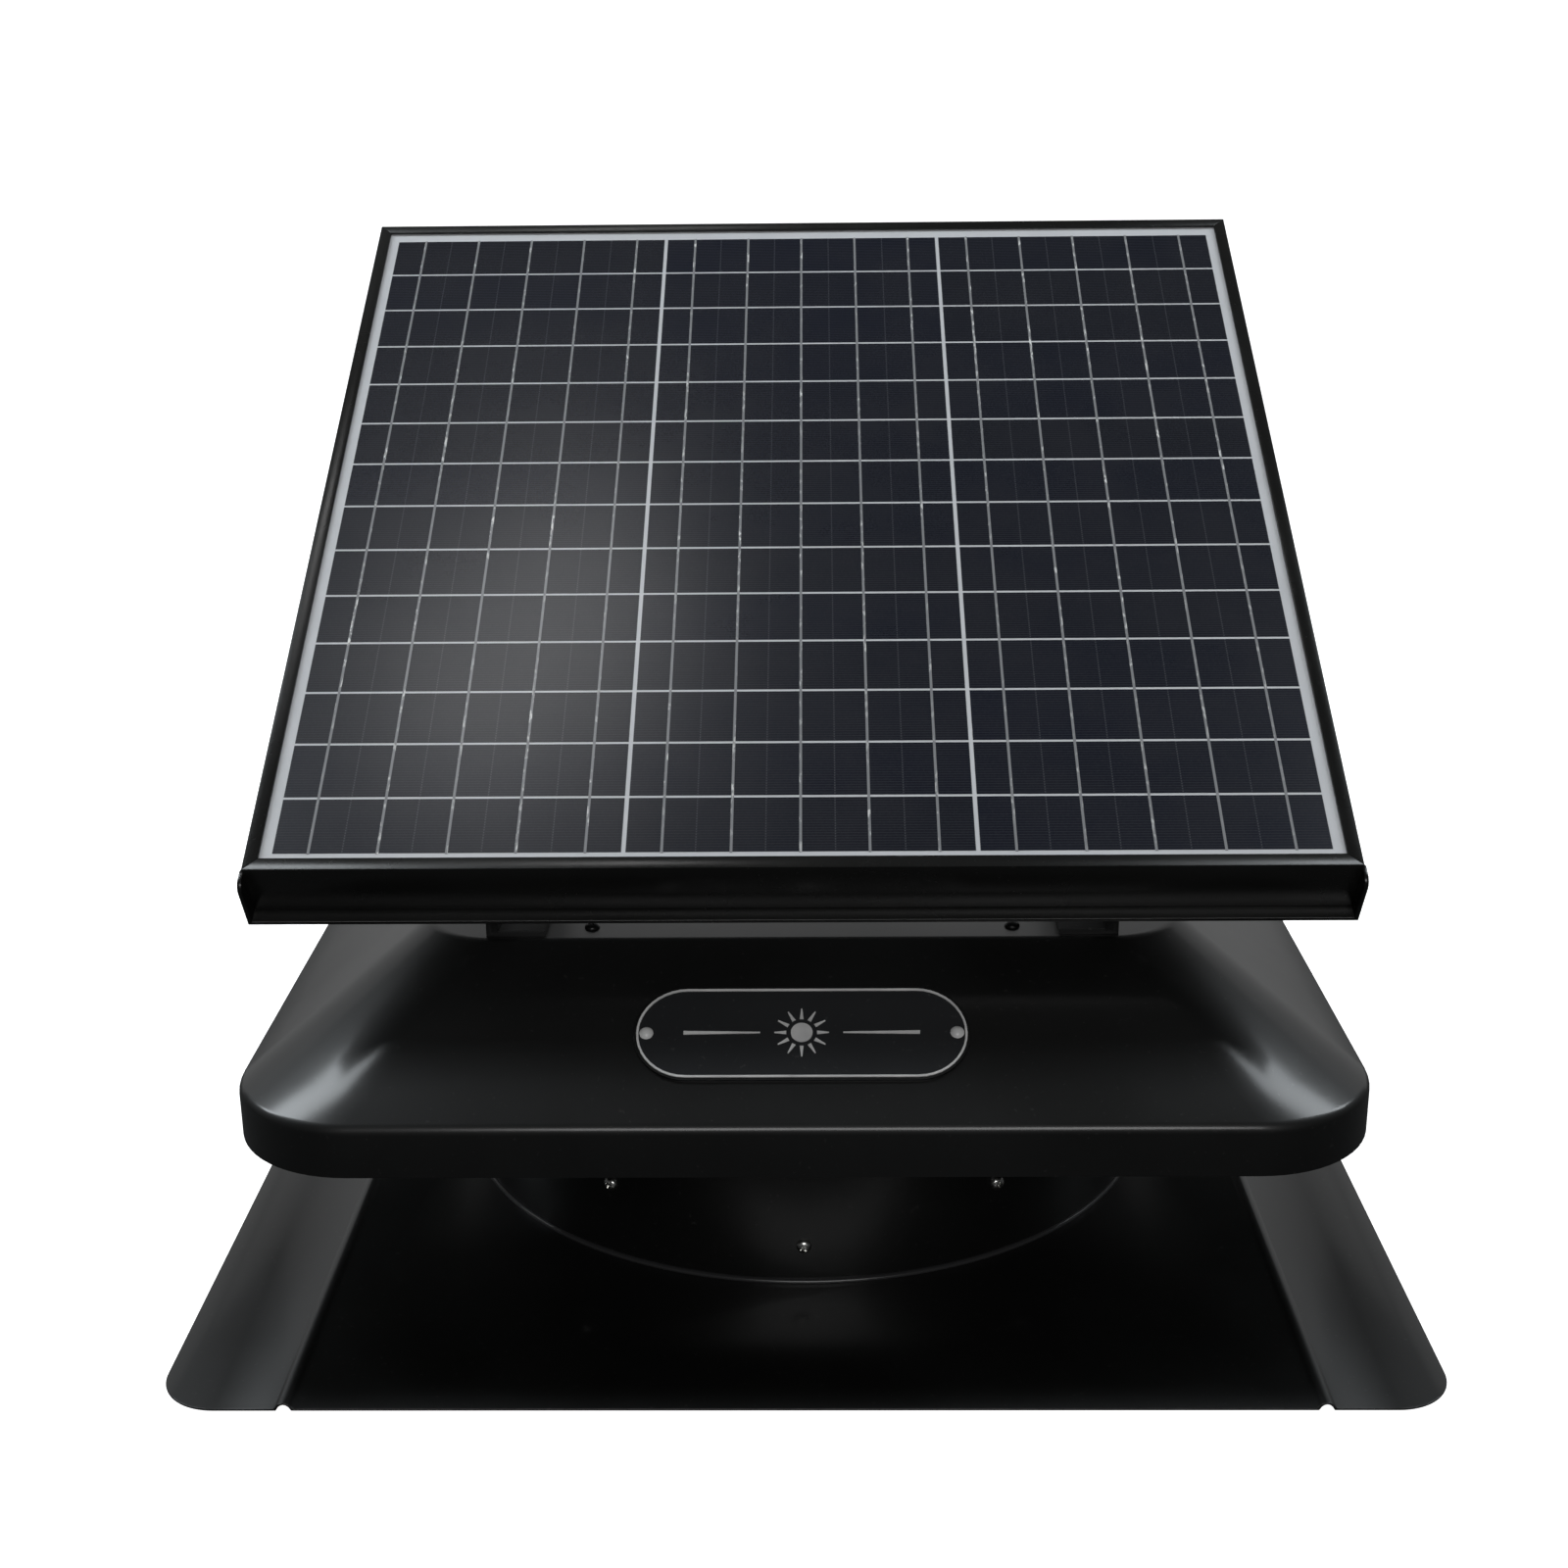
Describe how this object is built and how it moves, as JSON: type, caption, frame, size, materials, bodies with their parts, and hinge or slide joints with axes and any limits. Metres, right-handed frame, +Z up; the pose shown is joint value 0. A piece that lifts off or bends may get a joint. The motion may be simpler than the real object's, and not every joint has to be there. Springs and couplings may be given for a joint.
{
  "type": "solar attic fan",
  "caption": "Square-hooded roof fan on a flashing with a round throat, carrying a tilting solar panel on telescoping legs.",
  "frame": {"origin": "on the throat's axis at the underside of the flashing", "axes": "+Z up; -Y towards the nameplate and the panel's low edge; +X to the right seen from there"},
  "size_m": [0.588, 0.588, 0.4848],
  "materials": {
    "black_coat": "satin black powder coat",
    "frame_black": "black anodised",
    "support_steel": "black powder coat",
    "zinc_steel": "bright zinc plated",
    "plate_grey": "dark grey lacquer",
    "rivet_silver": "polished",
    "rubber": "matt",
    "sealant": "satin",
    "black_plastic": "moulded, fine texture",
    "motor_paint": "satin black",
    "bearing_steel": "ground",
    "iron": "laminated, dull",
    "copper": "enamelled copper",
    "board_green": "satin",
    "fan_aluminium": "mill finish",
    "panel_glass": "clear toughened",
    "solar_cell": "dark blue crystalline silicon",
    "backsheet_white": "white film"
  },
  "bodies": {
    "root": {"base_flashing": "black_coat", "throat": "black_coat", "seal_bead": "sealant", "shell_screws": "zinc_steel", "hood": "black_coat", "hood_leg_front_left": "black_coat", "hood_leg_front_right": "black_coat", "hood_leg_rear_right": "black_coat", "hood_leg_rear_left": "black_coat", "bird_screen": "black_coat", "nameplate": "plate_grey", "nameplate_rivets": "rivet_silver", "cable_grommet": "rubber", "motor_bracket": "black_coat", "thermostat": "black_plastic", "motor_housing": "motor_paint", "motor_end_cap": "motor_paint", "motor_bearings": "bearing_steel", "stator_core": "iron", "stator_windings": "copper", "controller_board": "board_green", "motor_screws": "zinc_steel", "base_rails": "support_steel", "pivot_posts": "support_steel", "rail_bolts": "support_steel", "hinge_bolts": "support_steel", "leg_foot_bolts": "zinc_steel"},
    "fan_wheel": {"motor_shaft": "bearing_steel", "rotor_magnet": "iron", "fan_hub": "fan_aluminium", "fan_blade_1": "fan_aluminium", "fan_blade_2": "fan_aluminium", "fan_blade_3": "fan_aluminium", "fan_blade_4": "fan_aluminium", "fan_blade_5": "fan_aluminium", "fan_spider": "fan_aluminium", "blade_rivets": "zinc_steel"},
    "solar_panel": {"frame_front": "frame_black", "frame_rear": "frame_black", "frame_left": "frame_black", "frame_right": "frame_black", "panel_glass": "panel_glass", "solar_cells": "solar_cell", "backsheet": "backsheet_white", "corner_screws": "zinc_steel", "front_channel": "frame_black", "junction_box": "black_plastic", "junction_box_lid": "black_plastic", "cable_gland": "black_plastic", "hinge_lugs": "frame_black", "lug_screws": "zinc_steel", "leg_lugs": "frame_black", "leg_top_bolts": "zinc_steel", "cross_rail": "frame_black"},
    "lower_leg_left": {"lower_leg_left": "support_steel"},
    "upper_leg_left": {"upper_leg_left": "support_steel"},
    "clamp_knob_left": {"clamp_knob_left": "black_plastic"},
    "lower_leg_right": {"lower_leg_right": "support_steel"},
    "upper_leg_right": {"upper_leg_right": "support_steel"},
    "clamp_knob_right": {"clamp_knob_right": "black_plastic"}
  },
  "joints": [
    {"name": "fan_spin", "type": "hinge", "parent": "root", "child": "fan_wheel", "pos_m": [0, 0, 0.08], "axis": [0, 0, 1], "continuous": true},
    {"name": "panel_tilt", "type": "hinge", "parent": "root", "child": "solar_panel", "pos_m": [0, -0.16892, 0.21454], "axis": [1, 0, 0], "range_deg": [-6, 9]},
    {"name": "left_leg_swing", "type": "hinge", "parent": "root", "child": "lower_leg_left", "pos_m": [-0.158, 0.165, 0.2], "axis": [1, 0, 0], "range_deg": [-3.2, 4.7]},
    {"name": "left_leg_slide", "type": "slide", "parent": "lower_leg_left", "child": "upper_leg_left", "axis": [0, -0.2462, 0.9692], "range_m": [-0.034, 0.051]},
    {"name": "left_knob_turn", "type": "hinge", "parent": "lower_leg_left", "child": "clamp_knob_left", "pos_m": [-0.17, 0.13422, 0.32115], "axis": [1, 0, 0], "continuous": true},
    {"name": "right_leg_swing", "type": "hinge", "parent": "root", "child": "lower_leg_right", "pos_m": [0.158, 0.165, 0.2], "axis": [1, 0, 0], "range_deg": [-3.2, 4.7]},
    {"name": "right_leg_slide", "type": "slide", "parent": "lower_leg_right", "child": "upper_leg_right", "axis": [0, -0.2462, 0.9692], "range_m": [-0.034, 0.051]},
    {"name": "right_knob_turn", "type": "hinge", "parent": "lower_leg_right", "child": "clamp_knob_right", "pos_m": [0.17, 0.13422, 0.32115], "axis": [1, 0, 0], "continuous": true}
  ],
  "couplings": [
    {"joint": "left_leg_swing", "follows": "panel_tilt", "ratio": 0.5},
    {"joint": "left_leg_slide", "follows": "panel_tilt", "m_per_rad": 0.3192},
    {"joint": "right_leg_swing", "follows": "panel_tilt", "ratio": 0.5},
    {"joint": "right_leg_slide", "follows": "panel_tilt", "m_per_rad": 0.3192}
  ]
}
